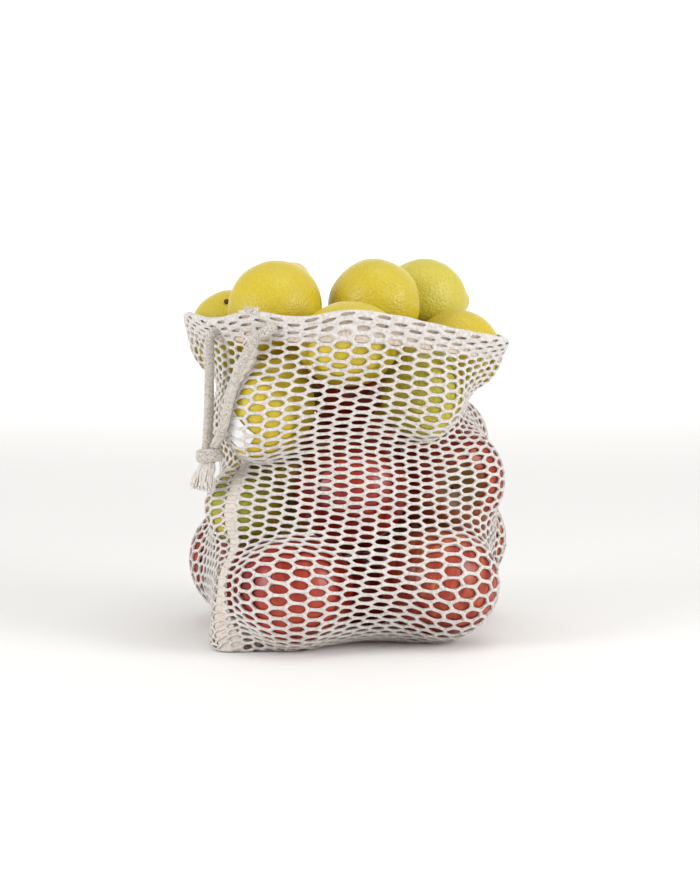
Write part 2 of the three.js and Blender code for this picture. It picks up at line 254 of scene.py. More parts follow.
def ramp(tree, share, *stops):
    """A colour by a share, through stops."""
    return node(tree, "ValToRGB", {"Fac": share}, stops=stops).outputs["Color"]


def new_material(name):
    """An empty material, its node tree, and the place of each point."""
    made = bpy.data.materials.new(name)
    made.use_nodes = True
    tree = made.node_tree
    tree.nodes.clear()
    return made, tree, node(tree, "TexCoord").outputs["Object"]


def on_fruit(tree):
    """Each point's place on the fruit's globe, and how far along its axis that is."""
    own = node(tree, "Attribute", attribute_name="own").outputs["Vector"]
    return own, node(tree, "SeparateXYZ", {"Vector": own}).outputs["Z"]


def surface(tree, looks):
    """The shader of a surface."""
    shader = node(tree, "BsdfPrincipled", looks)
    node(tree, "OutputMaterial", {"Surface": shader.outputs["BSDF"]})


def cotton(name, light, shade, fibre):
    """Undyed cotton yarn, knitted or braided: matt, uneven in tone, with a bloom of loose fibres."""
    made, tree, place = new_material(name)
    tone = grain(tree, place, 4 * fibre, 4.0, roughness=0.65)
    lint = grain(tree, place, fibre, 3.0)
    looks = {
        "Base Color": ramp(tree, tone, (0.34, shade), (0.56, light)),
        "Roughness": 0.95,
        "Specular IOR Level": 0.15,
        "Sheen Weight": 0.3,
        "Sheen Roughness": 0.6,
        "Normal": bump(tree, lint, 1.0, fibre),
    }
    surface(tree, looks)
    return made


def lemon_peel(name, ripe, pore_shade, green, end):
    """Waxed lemon rind: a soft sheen broken by oil pores with painted shade in their pits, greener in
    patches, deeper in tone at the tip.
    """
    made, tree, place = new_material(name)
    patch = grain(tree, place, RIND_PATCH, 3.0)
    body = ramp(tree, patch, (0.32, green), (0.68, ripe), (0.50, ripe))
    pores = {"Vector": place, "Scale": 1 / RIND_PORE, "Smoothness": 0.4}
    pore = node(tree, "TexVoronoi", pores, feature="SMOOTH_F1")
    dimple = smooth_step(tree, pore.outputs["Distance"], 0.0, 0.75)
    # Each pore's pit takes the darker colour: painted shade in the pit.
    colour = blend(tree, dimple, linear(pore_shade), body)
    tip = smooth_step(tree, on_fruit(tree)[1], 0.945, 0.99, most=0.8)
    colour = blend(tree, tip, colour, linear(end))
    pebble = grain(tree, place, RIND_PEBBLE, 2.0)
    relief = node(tree, "Math", {0: pebble, 1: dimple}, operation="ADD").outputs[0]
    looks = {
        "Base Color": colour,
        "Roughness": 0.33,
        "IOR": 1.45,
        "Subsurface Weight": 0.08,
        "Subsurface Radius": (0.004, 0.003, 0.001),
        "Subsurface Scale": 1.0,
        "Normal": bump(tree, relief, 0.45, 0.0005),
    }
    surface(tree, looks)
    return made


def apple_skin(name, ground, blush, dark, shift):
    """Polished apple skin: streaks run from stem to blossom end over a paler ground, with a clear gloss."""
    made, tree, place = new_material(name)
    own, along = on_fruit(tree)
    drawn = node(tree, "Mapping", {"Vector": own, "Scale": SKIN_STREAK}).outputs["Vector"]
    streak = grain(tree, drawn, 1.0, 5.0)
    side = grain(tree, place, SKIN_SIDE, 2.0)
    mixed = node(tree, "Math", {0: side, 1: streak}, operation="ADD").outputs[0]
    shifted = node(tree, "Math", {0: mixed, 1: 0.5 - shift}, operation="SUBTRACT").outputs[0]
    skin = ramp(tree, shifted, (0.25, ground), (0.72, dark), (0.50, blush))
    dots = node(tree, "TexVoronoi", {"Vector": place, "Scale": 1 / SKIN_DOT})
    near = {"Value": dots.outputs["Distance"], "From Min": 0.10, "From Max": 0.05, "To Max": 0.35}
    dotted = node(tree, "MapRange", near).outputs["Result"]
    colour = blend(tree, dotted, skin, linear(DOT_TAN))
    cavity = smooth_step(tree, along, -0.86, -0.96)
    colour = blend(tree, cavity, colour, linear(CAVITY_BROWN))
    surface(tree, {"Base Color": colour, "Roughness": 0.32, "IOR": 1.42, "Coat Weight": 0.1})
    return made


def plain(name, colour, roughness):
    """A smooth matt finish with a faint grain."""
    made, tree, place = new_material(name)
    normal = bump(tree, grain(tree, place, PAPER_GRAIN, 2.0), 0.1, 0.0005)
    surface(tree, {"Base Color": linear(colour), "Roughness": roughness, "Normal": normal})
    return made


NET_COTTON = cotton("Knitted undyed cotton yarn", "#e2dcd7", "#c3bbb4", 0.00045)
CORD_COTTON = cotton("Braided undyed cotton cord", "#dbd5cd", "#b2a79b", 0.00040)
TASSEL_COTTON = cotton("Frayed undyed cotton yarn", "#e6e0d9", "#d0c7be", 0.00040)
SEAM_COTTON = cotton("Overlocked cotton seam", "#e9ddd0", "#d9c9b8", 0.00040)
# The hem's turned-in cotton is tinted tan as painted warm shade, for the slits of the doubled hem.
HEM_COTTON_WITH_PAINTED_SHADE = cotton("Turned-in cotton of the hem, tinted tan as painted shade", "#e0d0c0", "#c4ae9a", 0.00045)
LABEL_SATIN = cotton("Woven satin label", "#f0efee", "#e6e5e4", 0.00030)
# The second colour of each rind is the painted shade in the pits of its pores.
LEMON_RIPE = lemon_peel("Ripe lemon rind", "#d0ba30", "#c9b12a", "#c9b93a", "#c6ab30")
LEMON_PALE = lemon_peel("Pale lemon rind", "#ccbf47", "#c4b640", "#c1b945", "#cc9a2a")
LEMON_GREEN = lemon_peel("Green lemon rind", "#c0b238", "#989028", "#929a2c", "#a39a2c")
APPLE_RED = apple_skin("Red apple skin", "#a93d24", "#962516", "#74130d", -0.05)
APPLE_STREAKED = apple_skin("Streaked apple skin", "#c07a48", "#aa4529", "#862015", -0.02)
STEM_WOOD = plain("Dry apple stem", "#4b3520", 0.8)


# Curves and frames.
def through(points, count, closed=False):
    """Evenly spaced points on a smooth curve through given ones."""
    p = np.array(points, float)
    before, after = ([p[-1]], p[:2]) if closed else ([2 * p[0] - p[1]], [2 * p[-1] - p[-2]])
    p = np.vstack([before, p, after])
    fine = []
    for a, b, c, d in zip(p, p[1:], p[2:], p[3:]):
        knot_b = np.linalg.norm(b - a) ** 0.5
        knot_c = knot_b + np.linalg.norm(c - b) ** 0.5
        knot_d = knot_c + np.linalg.norm(d - c) ** 0.5
        t = np.linspace(knot_b, knot_c, 40, endpoint=False)[:, None]
        ab = a + (b - a) * t / knot_b
        bc = b + (c - b) * (t - knot_b) / (knot_c - knot_b)
        cd = c + (d - c) * (t - knot_c) / (knot_d - knot_c)
        abc = ab + (bc - ab) * t / knot_c
        bcd = bc + (cd - bc) * (t - knot_b) / (knot_d - knot_b)
        fine.append(abc + (bcd - abc) * (t - knot_b) / (knot_c - knot_b))
    fine = np.vstack([*fine, p[-2:-1]])
    along = lengths(fine)
    at = np.linspace(0, along[-1], count, endpoint=not closed)
    return np.stack([np.interp(at, along, fine[:, k]) for k in range(3)], axis=1)


def lengths(points):
    """The length along a line of points, at each of them."""
    return np.concatenate([[0.0], np.cumsum(np.linalg.norm(np.diff(points, axis=0), axis=1))])


def unit(vectors):
    """The same directions, one long."""
    return vectors / (np.linalg.norm(vectors, axis=-1, keepdims=True) + 1e-12)


# The net, drawn tight over the fruit.
def push_out(points, standoff):
    """Moves the points that are inside a fruit, or under the floor, out to where the knit lies."""
    for one in ALL_FRUIT:
        away = points - np.array(one.centre)
        along = away @ np.array(one.axis)
        across = np.sqrt(np.maximum(0.0, (away * away).sum(axis=1) - along * along))
        reach = np.where(along > 0, one.length + one.tip, one.length) + standoff
        depth = np.hypot(along / reach, across / (one.radius + standoff))
        inside = depth < 1
        points[inside] = np.array(one.centre) + away[inside] / depth[inside, None]
    points[:, 2] = np.maximum(points[:, 2], HALF)
    return points


def loose_net():
    """The net before it is drawn tight: flat in its footprint, then a wide drum to the mouth."""
    lift = np.array((0.0, 0.0, HALF))
    footprint = through(FOOTPRINT, COLUMNS, closed=True) + lift
    mouth = through(MOUTH, COLUMNS, closed=True)
    out = unit(mouth * (1, 1, 0))
    mouth = mouth - out * HALF
    column = np.arange(COLUMNS)
    share = np.minimum(column, COLUMNS - column)[:, None] / (COLUMNS / 2)
    seam = np.array(CORNER_FRONT) * (1 - share) + np.array(CORNER_BACK) * share + lift
    net = []
    for ring in range(RINGS + 1):
        if ring <= FLOOR_RINGS:
            net.append(seam + (footprint - seam) * ring / FLOOR_RINGS)
        else:
            rise = (ring - FLOOR_RINGS) / (RINGS - FLOOR_RINGS)
            net.append(footprint + (mouth - footprint) * rise + out * DRUM * math.sin(math.pi * rise))
    net = np.array(net)
    foot = through(SEAM_FOOT, SEAM_FOOT_RINGS + 1)
    net[FLOOR_RINGS : FLOOR_RINGS + SEAM_FOOT_RINGS + 1, 0] = np.maximum(foot, (-1, -1, HALF))
    return net


def free_points(net):
    """Which points of the net move: not those on the floor, at the mouth or in the side seam's foot."""
    ring, column = np.indices(net.shape[:2])
    free = (ring > FLOOR_RINGS) & (ring < RINGS)
    return free & ((column > 0) | (ring > FLOOR_RINGS + SEAM_FOOT_RINGS))


def pulled(net):
    """Where each point's neighbours pull it, round the pouch and along it."""
    beside = np.roll(net, 1, axis=1) + np.roll(net, -1, axis=1)
    over = np.roll(net, 1, axis=0) + np.roll(net, -1, axis=0)
    return (ACROSS * beside + ALONG * over) / (2 * (ACROSS + ALONG))


def tight_net():
    """Draws the net tight: sweeps move every second point between its neighbours, clear of the fruit."""
    net = loose_net()
    free = free_points(net)
    second = np.indices(net.shape[:2]).sum(axis=0) % 2
    for sweep in range(SWEEPS):
        moving = free & (second == sweep % 2)
        net[moving] = push_out(pulled(net)[moving], HALF)
    return net


def refine(points, steps, closed):
    """A smooth cubic through points along their first axis, with some steps between neighbours."""
    if closed:
        around = np.concatenate([points[-1:], points, points[:2]])
    else:
        around = np.concatenate([2 * points[:1] - points[1:2], points, 2 * points[-1:] - points[-2:-1]])
    spans = len(around) - 3
    t = (np.arange(steps) / steps)[None, :, None, None]
    a, b, c, d = (around[i : i + spans, None] for i in range(4))
    curve = b + t / 2 * (c - a + t * (2 * a - 5 * b + 4 * c - d + t * (3 * (b - c) + d - a)))
    curve = curve.reshape(-1, *points.shape[1:])
    return curve if closed else np.concatenate([curve, points[-1:]])


def knit_cloth():
    """The cloth as a fine grid from seam to mouth: its holes are spaced on a calm copy of the net."""
    net = tight_net()
    calm = net.copy()
    free = free_points(net)
    for _ in range(CALMING):
        calm[free] = pulled(calm)[free]
    both = refine(np.concatenate([net, calm], axis=2), FINE, closed=False)
    both = refine(both.swapaxes(0, 1), FINE, closed=True)
    share = refine(level_rows(calm)[..., None], FINE, closed=False)
    share = refine(share.swapaxes(0, 1), FINE, closed=True)[..., 0]
    rows = []
    for column, at in zip(both, share):
        along = lengths(column[:, 3:])
        rows.append([np.interp(at * along[-1], along, column[:, k]) for k in range(6)])
    return carried(even_columns(np.array(rows).transpose(2, 0, 1)), both.swapaxes(0, 1)[..., :3])


def level_rows(calm):
    """Where the rows of holes cross each column, as shares of its length: well spaced, and near level."""
    columns = [(lengths(column), column) for column in calm.swapaxes(0, 1)]
    long = np.array([along[-1] for along, _ in columns])
    hem = 1 - np.arange(HEM_ROWS, -1, -1)[:, None] * HEM_ROW / long
    rise = np.concatenate([[0], np.cumsum(ROW_HEIGHTS[:-HEM_ROWS])])
    even = rise[:, None] / rise[-1] * hem[0]
    even = np.concatenate([even, hem[1:]])
    share = even.copy()
    for _ in range(LEVELLING):
        places = (share * long).T
        rows = [
            [np.interp(at, along, p[:, k]) for k in range(3)] for at, (along, p) in zip(places, columns)
        ]
        rows = np.array(rows).transpose(2, 0, 1)
        up = unit(np.gradient(rows, axis=0))
        beside = (np.roll(rows, 1, axis=1) + np.roll(rows, -1, axis=1)) / 2 - rows
        climb = (beside * up).sum(axis=2) / long
        stray = share - even
        crowd = (np.roll(stray, 1, axis=0) + np.roll(stray, -1, axis=0)) / 2 - stray
        share[1:-HEM_ROWS] += (LEVEL * climb + crowd)[1:-HEM_ROWS] / (2 + 2 * LEVEL)
    return share


def even_columns(rows):
    """Slides the columns along each row of the calm net until they are even from seam to seam."""
    count = rows.shape[1]
    place = np.arange(-SEAM_REACH, count + SEAM_REACH)
    slid = []
    around = np.concatenate([rows[:, -SEAM_REACH:], rows, rows[:, :SEAM_REACH]], axis=1)
    for index, row in enumerate(around):
        seam = FINE * np.interp(index / FINE, *SEAM_DRIFT)
        along = lengths(row[:, 3:])
        ends = np.interp((seam, count / 2, count + seam), place, along)
        even = [np.linspace(a, b, HOLE_COLUMNS // 2 * FINE, endpoint=False) for a, b in zip(ends, ends[1:])]
        slid.append([np.interp(np.concatenate(even), along, row[:, k]) for k in range(6)])
    return np.array(slid).transpose(0, 2, 1)


def outward(grid):
    """The outward directions of a grid of points that closes round the pouch."""
    return unit(np.cross(np.roll(grid, -1, axis=1) - np.roll(grid, 1, axis=1), np.gradient(grid, axis=0)))


def strain(holes):
    """How the threads between neighbouring holes, along, across and aslant, pull or push each of them."""
    wide, high = TAUT * COLUMN_PITCH, TAUT * ROW_HEIGHTS[:, None, None]
    aslant = np.hypot(wide, high)
    pull = np.zeros_like(holes)
    for up, over, rest in ((0, 1, wide), (1, 0, high), (1, 1, aslant), (1, -1, aslant)):
        last = len(holes) - up
        gap = np.roll(holes, -over, axis=1)[up:] - holes[:last]
        gap *= 1 - rest / np.maximum(np.linalg.norm(gap, axis=2, keepdims=True), rest / 4)
        pull[:last] += gap
        pull[up:] -= np.roll(gap, over, axis=1)
    return pull


def carried(rows, drawn):
    """Carries the holes of the calm net straight in or out to the drawn net, where their threads settle."""
    height, count = drawn.shape[:2]
    corner = np.arange((height - 1) * count).reshape(height - 1, count)
    beside = np.roll(corner, -1, axis=1)
    quads = np.stack([corner, beside, beside + count, corner + count], axis=2).reshape(-1, 4)
    drawn_net = BVHTree.FromPolygons(drawn.reshape(-1, 3).tolist(), quads.tolist())

    def onto_net(points):
        found = [drawn_net.find_nearest(p)[0] for p in points.reshape(-1, 3).tolist()]
        return np.array(found).reshape(points.shape)

    holes, calm = rows[::FINE, ::FINE, :3].copy(), rows[::FINE, ::FINE, 3:]
    out = outward(calm)
    for row in range(SEAM_ROWS, WALL_ROWS - HEM_ROWS):
        for column in range(HOLE_COLUMNS):
            away = Vector(out[row, column])
            hit = drawn_net.ray_cast(Vector(calm[row, column]) + away * CARRY, -away, 2 * CARRY)[0]
            if hit:
                holes[row, column] = hit
    slid = np.zeros_like(holes)
    for _ in range(SETTLING):
        moved = holes + SLIDE * strain(holes) + MOMENTUM * slid
        slid = -holes
        holes[SEAM_ROWS:-HEM_ROWS, 1:] = onto_net(moved[SEAM_ROWS:-HEM_ROWS, 1:])
        slid += holes
    fine = refine(holes, FINE, closed=False).swapaxes(0, 1)
    return onto_net(refine(fine, FINE, closed=True).swapaxes(0, 1))


CLOTH = knit_cloth()
CLOTH_OUT = outward(CLOTH)


def on_cloth(u, v):
    """The cloth's points and outward directions at columns u and rows v of its holes."""
    across = np.asarray(u) / HOLE_COLUMNS * CLOTH.shape[1]
    up = np.clip(np.asarray(v) * FINE, 0, len(CLOTH) - 1.001)
    column, row = np.floor(across).astype(int), np.floor(up).astype(int)
    s, t = (across - column)[:, None], (up - row)[:, None]
    here, beside = column % CLOTH.shape[1], (column + 1) % CLOTH.shape[1]
    found = []
    for grid in (CLOTH, CLOTH_OUT):
        low = grid[row, here] * (1 - s) + grid[row, beside] * s
        high = grid[row + 1, here] * (1 - s) + grid[row + 1, beside] * s
        found.append(low * (1 - t) + high * t)
    return found[0], unit(found[1])


# Pieces.
def add(name, data):
    """A new object of the scene."""
    made = bpy.data.objects.new(name, data)
    scene.collection.objects.link(made)
    return made


def piece(name, bm, material):
    """A smooth-shaded object from a bmesh, which rides on the pouch."""
    mesh = bpy.data.meshes.new(name)
    bm.to_mesh(mesh)
    bm.free()
    return mesh_piece(name, mesh, material)


def mesh_piece(name, mesh, material):
    """The same from a mesh."""
    mesh.materials.clear()
    mesh.materials.append(material)
    mesh.shade_smooth()
    made = add(name, mesh)
    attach(made, "root")
    return made


def thicken(made, thickness):
    """Gives a sheet its thickness and rounds its edges."""
    solid = made.modifiers.new("Thickness", "SOLIDIFY")
    solid.thickness = thickness
    solid.offset = 0.0
    rounded = made.modifiers.new("Rounding", "SUBSURF")
    rounded.levels = rounded.render_levels = 1
    return made


def threads(name, paths, radius, material):
    """Round threads along lines of points, as one mesh."""
    curve = bpy.data.curves.new(name, "CURVE")
    curve.dimensions = "3D"
    curve.bevel_depth = radius
    curve.bevel_resolution = 1
    curve.use_fill_caps = True
    for path in paths:
        spline = curve.splines.new("POLY")
        spline.points.add(len(path) - 1)
        spline.points.foreach_set("co", np.hstack([path, np.ones((len(path), 1))]).ravel())
    drawn = add(name, curve)
    mesh = bpy.data.meshes.new_from_object(drawn.evaluated_get(bpy.context.evaluated_depsgraph_get()))
    bpy.data.objects.remove(drawn)
    bpy.data.curves.remove(curve)
    return mesh_piece(name, mesh, material)


# The net's pieces.
PANEL_LAP = 0.04  # how far each panel's edge laps over the other's at the seams, in columns
HEM_PUFF = 0.0012  # how far the hem's outer layer stands out
HEM_GAP = 0.0021  # how far the turned-in layer lies behind the drawn cloth
HEM_TURN = 0.4  # rows that the fold's roundness takes
HEM_SHIFT = 0.35  # columns between the holes of the hem's two layers
RIM_SHUT = 0.4  # rows on both sides of the fold where the knit is pulled shut
IN_WALL, IN_HEM, AT_FOLD = range(3)  # where a cell of the knit lies


def panel_place(u, v):
    """Up the pouch from the bottom seam to the mouth, then over the fold and down the inside of the hem."""
    over = np.clip((v - FOLD) / HEM_TURN, -1, 1)
    up = np.minimum(v, 2 * FOLD - v)
    points, out = on_cloth(u + HEM_SHIFT * (over > 0), up * WALL_ROWS / FOLD)
    puff = HEM_PUFF * np.sin(np.pi * np.clip((up - FOLD) / HEM_ROWS + 1, 0, 1))
    offset = np.where(over < 0, -over * puff, -over * HEM_GAP)
    return push_out(points + out * offset[:, None], HALF)


def knit_panel(name, first):
    """One panel of the pouch: hexagonal holes in staggered columns, with half a thread round each."""
    columns, rows = HOLE_COLUMNS // 2, WALL_ROWS + HEM_ROWS
    bm = bmesh.new()
    bmesh.ops.create_grid(bm, x_segments=columns, y_segments=2 * rows, size=1.0)
    bmesh.ops.translate(bm, verts=bm.verts, vec=(1, 1, 0))
    bmesh.ops.scale(bm, verts=bm.verts, vec=(columns / 2, rows, 1))
    shut = []
    for edge in bm.edges:
        a, b = (vert.co for vert in edge.verts)
        level = abs(a.y - b.y) < 0.5
        if level and not edge.is_boundary and (round(a.y) + math.floor((a.x + b.x) / 2) + first) % 2:
            shut.append(edge)
    bmesh.ops.dissolve_edges(bm, edges=shut)
    hem = bm.faces.layers.int.new("hem")
    sharp = bm.verts.layers.float.new("crease_vert")
    for cell in bm.faces:
        row = cell.calc_center_median().y / 2
        cell[hem] = IN_HEM if row > WALL_ROWS - HEM_ROWS else IN_WALL
        if abs(row - FOLD) < RIM_SHUT:
            cell[hem] = AT_FOLD
    grid = np.array([vert.co for vert in bm.verts])
    column, half_row = np.rint(grid[:, 0]).astype(int), np.rint(grid[:, 1]).astype(int)
    inside = (column > 0) & (column < columns) & (half_row > 0) & (half_row < 2 * rows)
    stray = draw.uniform(-STRAY, STRAY, (len(grid), 2)) * inside[:, None]
    lap = PANEL_LAP * ((column == columns).astype(int) - (column == 0))
    zigzag = np.where((column + first + half_row) % 2, -ZIGZAG, ZIGZAG)
    points = panel_place(column + first + zigzag + lap + stray[:, 0], half_row / 2 + stray[:, 1])
    for vert, point in zip(bm.verts, points):
        vert.co = point
    open_holes(bm, hem, sharp)
    return thicken(piece(name, bm, NET_COTTON), NET_THICKNESS * YARN_SHARE)


def open_holes(bm, hem, sharp):
    """Opens a hole in each cell of the knit. The thread round it narrows where the cell is tight."""
    opened = []
    for cell in list(bm.faces):
        room = 2 * cell.calc_area() / cell.calc_perimeter()
        if room > SHUT_ROOM and cell[hem] != AT_FOLD:
            thread, most = (HEM_THREAD, HEM_THREAD_MOST) if cell[hem] == IN_HEM else (THREAD, THREAD_MOST)
            half = min(thread / 2 * draw.uniform(*THREAD_RANGE), most * room)
            middle = cell.calc_center_median()
            reach = max((vert.co - middle).length for vert in cell.verts) - half
            bmesh.ops.inset_individual(bm, faces=[cell], thickness=half, use_even_offset=True)
            for vert in cell.verts:
                away = vert.co - middle
                ragged = Vector(draw.uniform(-RAGGED, RAGGED, 3))
                vert.co = middle + away * min(1, reach / away.length) + ragged
                vert[sharp] = HOLE_CORNER
            opened.append(cell)
    bmesh.ops.delete(bm, geom=opened, context="FACES_ONLY")


# The seams and the label, inside the pouch.
SEAM_WIDTH = 0.95  # columns of the knit that the overlocked seam allowance covers
SEAM_GAP = 0.08  # columns between it and the panels' edges
SEAM_STEPS = (3, 120)  # steps of its grid across and along
SIDE_LONG, BOTTOM_LONG = 0.21, 0.16  # stitched lengths of a side seam and of the bottom seam
CORNER_BUNCH = 1.3  # columns more that it covers at the bottom corner
CORNER_ROWS = 6.0  # rows over which that tapers off
BOTTOM_ROWS = (0.1, 1.1)  # the row where the bottom seam starts, and the rows that it covers
TUNNEL_ROWS = (WALL_ROWS - HEM_ROWS - 0.55, HEM_ROWS + 0.15)  # the same for the lining of the hem
TUNNEL_STEPS = (8, 340)
SEAM_DEPTH = 0.0007  # how far it lies inside the knit's middle
SEAM_THICKNESS = 0.0009
STITCH = 0.0025  # length of one overlock stitch
STITCH_EDGES = (0.05, 0.95)  # where it turns, as shares of the seam's width
STITCH_STRAY = 0.06
STITCH_SINK = 0.0001  # how much deeper than the seam's middle it lies
STITCH_YARN = 0.00036  # radius of its yarn
TUFT_YARNS = 40
TUFT_COLUMNS = (0.6, 1.4)  # where the tuft stands on the rim
TUFT_TIPS = ((-0.0022, -0.0010, -0.0006), (0.0022, 0.0010, 0.0020))  # how far its yarns may reach
TUFT_BEND = 0.0008
TUFT_ROOT = 0.002  # how far they go down into the hem
LABEL_SIZE = (0.015, 0.021)
LABEL_TOWARDS = Vector((-0.65, -0.63, -0.36))  # from the middle of its lemon to the middle of the label
LABEL_RISE = 0.0008  # how far it stands off the lemon
LABEL_TILT = math.radians(40)
LABEL_THICKNESS = 0.0003


def ribbon(name, place, steps, material):
    """A strip of cloth inside the knit. Its place gives columns and rows for shares across and along."""
    bm = bmesh.new()
    bmesh.ops.create_grid(bm, x_segments=steps[0], y_segments=steps[1], size=0.5)
    share = np.array([vert.co for vert in bm.verts]) + 0.5
    points, out = on_cloth(*place(share[:, 0], share[:, 1]))
    for vert, point in zip(bm.verts, push_out(points - out * SEAM_DEPTH, SEAM_DEPTH / 2)):
        vert.co = point
    return thicken(piece(name, bm, material), SEAM_THICKNESS)


def overlock(place, long):
    """One thread that loops to and fro over a seam."""
    count = 2 * int(long / STITCH)
    step = np.arange(count + 1)
    across = np.where(step % 2, STITCH_EDGES[1], STITCH_EDGES[0])
    across = across + draw.uniform(-STITCH_STRAY, STITCH_STRAY, count + 1)
    points, out = on_cloth(*place(across, step / count))
    points = push_out(points - out * (SEAM_DEPTH + STITCH_SINK), 2 * STITCH_SINK)
    return through(points, 5 * count)


def make_seams():
    """The lining of the hem, tinted tan as painted warm shade, the seams with their stitches, and the tuft
    at the side seam's end.
    """
    half = HOLE_COLUMNS // 2

    def side(s, t):
        bunched = CORNER_BUNCH * np.exp(-((WALL_ROWS * t / CORNER_ROWS) ** 2))
        return SEAM_GAP + (SEAM_WIDTH + bunched) * s, WALL_ROWS * t

    def far_side(s, t):
        return half + SEAM_GAP + SEAM_WIDTH * s, WALL_ROWS * t

    def bottom(s, t):
        return half * t, BOTTOM_ROWS[0] + BOTTOM_ROWS[1] * s

    def tunnel(s, t):
        return HOLE_COLUMNS * t, TUNNEL_ROWS[0] + TUNNEL_ROWS[1] * s

    # The hem's lining is partly its real turned-in edge and partly a tan sheet of painted shade behind the
    # hem's slits.
    made = [ribbon("hem_lining_and_painted_shade", tunnel, TUNNEL_STEPS, HEM_COTTON_WITH_PAINTED_SHADE)]
    for name, place in {"side_seam": side, "far_side_seam": far_side, "bottom_seam": bottom}.items():
        made.append(ribbon(name, place, SEAM_STEPS, SEAM_COTTON))
    stitches = [overlock(side, SIDE_LONG), overlock(far_side, SIDE_LONG), overlock(bottom, BOTTOM_LONG)]
    made.append(threads("overlock_stitches", stitches, STITCH_YARN, SEAM_COTTON))
    made.append(threads("seam_tuft", seam_tuft(), STITCH_YARN, NET_COTTON))
    return made


def seam_tuft():
    """The cut yarns of the side seam, which stand a little above the rim."""
    yarns = []
    for _ in range(TUFT_YARNS):
        root = on_cloth([draw.uniform(*TUFT_COLUMNS)], [WALL_ROWS])[0][0]
        tip = root + draw.uniform(*TUFT_TIPS)
        bent = (root + tip) / 2 + draw.uniform(-TUFT_BEND, TUFT_BEND, 3)
        yarns.append(through((root - (0, 0, TUFT_ROOT), root, bent, tip), 8))
    return yarns


def make_label():
    """A bare label that hangs from the side seam, between the knit and the lemon that it follows."""
    fruit = INNER_LEMONS["lemon_upper_left"]
    out = LABEL_TOWARDS.normalized()
    right = Vector((0, 0, 1)).cross(-out).normalized()
    up = out.cross(right)
    bm = bmesh.new()
    bmesh.ops.create_grid(bm, x_segments=8, y_segments=10, size=0.5)
    bmesh.ops.scale(bm, verts=bm.verts, vec=(*LABEL_SIZE, 1))
    bmesh.ops.rotate(bm, verts=bm.verts, matrix=Matrix.Rotation(LABEL_TILT, 3, "Z"))
    for vert in bm.verts:
        away = right * vert.co.x + up * vert.co.y
        angle = away.length / fruit.radius
        way = out * math.cos(angle) + away.normalized() * math.sin(angle)
        along = way.dot(fruit.axis)
        across = math.sqrt(1 - along * along)
        reach = math.hypot(along / (fruit.length + LABEL_RISE), across / (fruit.radius + LABEL_RISE))
        vert.co = fruit.centre + way / reach
    return thicken(piece("label", bm, LABEL_SATIN), LABEL_THICKNESS)


def make_net():
    """The two panels of the net, with their seams and the label."""
    front, back = knit_panel("net_front", 0), knit_panel("net_back", HOLE_COLUMNS // 2)
    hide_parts("pouch")
    seams = make_seams()
    label = make_label()


# The fruit's shapes. A hollow has a depth, as a share of the radius, and a half angle in radians.
STEM_DIMPLE = (0.035, 0.16)  # in a lemon
STEM_CAVITY, BLOSSOM_CAVITY = (0.34, 0.36), (0.16, 0.30)  # in an apple
RIBS, LOBES = 0.010, 0.015  # how far a lemon's five ribs and an apple's five lobes stand out
SWELLS = ((0.022, 0.0007), (0.007, 0.00018))  # lengths and heights of the uneven swells of a fruit
BARE_DETAIL, VEILED_DETAIL = 40, 24  # how fine a fruit is above the mouth, and behind the net
BUTTON, BUTTON_RADIUS = (0.0012, -0.0002, -0.0008), 0.0016  # a lemon's stem button, along its axis
STEM_RADIUS = 0.0011
STEM_BOTTOM = 0.66  # where an apple's stem starts, as a share of half its height
STEM_STEP, STEM_BEND = 0.0018, 0.0004


def placing(fruit):
    """The matrix that takes a fruit made about the origin, blossom end up, to its place."""
    return Matrix.Translation(fruit.centre) @ fruit.axis.to_track_quat("Z", "Y").to_matrix().to_4x4()


def hollow(fruit, size, angle):
    """How deep the hollow at one end of a fruit is, at an angle from that end."""
    return size[0] * fruit.radius * math.exp(-((angle / size[1]) ** 2))


def lemon_outline(fruit, turn, spin):
    """Distance from the lemon's axis and place along it, by the angle from its stem end."""
    nipple = fruit.tip * math.exp(-(((math.pi - turn) / NIPPLE_WIDTH) ** 3))
    dimple = hollow(fruit, STEM_DIMPLE, turn)
    ribs = 1 + RIBS * math.cos(5 * spin) * math.sin(turn) ** 2
    return fruit.radius * math.sin(turn) * ribs, -fruit.length * math.cos(turn) + nipple + dimple


def apple_outline(fruit, turn, spin):
    """The same for an apple: a cavity at each end, the deeper at the stem, and soft lobes."""
    stem = hollow(fruit, STEM_CAVITY, turn)
    blossom = hollow(fruit, BLOSSOM_CAVITY, math.pi - turn)
    lobes = 1 + LOBES * math.cos(5 * spin) * (turn / math.pi) ** 2
    return fruit.radius * math.sin(turn) * lobes, -fruit.length * math.cos(turn) + stem - blossom


def fruit_piece(name, fruit, outline, material, detail):
    """A fruit from a globe: each point is moved to the fruit's outline, and then a little in or out."""
    bm = bmesh.new()
    bmesh.ops.create_uvsphere(bm, u_segments=3 * detail, v_segments=2 * detail, radius=1.0)
    own = bm.verts.layers.float_vector.new("own")
    for vert in bm.verts:
        vert[own] = vert.co
        turn = math.acos(max(-1.0, min(1.0, -vert.co.z)))
        spin = math.atan2(vert.co.y, vert.co.x)
        across, along = outline(fruit, turn, spin)
        vert.co = (across * math.cos(spin), across * math.sin(spin), along)
    bmesh.ops.transform(bm, matrix=placing(fruit), verts=bm.verts)
    for vert in bm.verts:
        swell = sum(noise.noise(vert.co / long) * high for long, high in SWELLS)
        vert.co += (vert.co - fruit.centre).normalized() * swell
    return piece(name, bm, material)


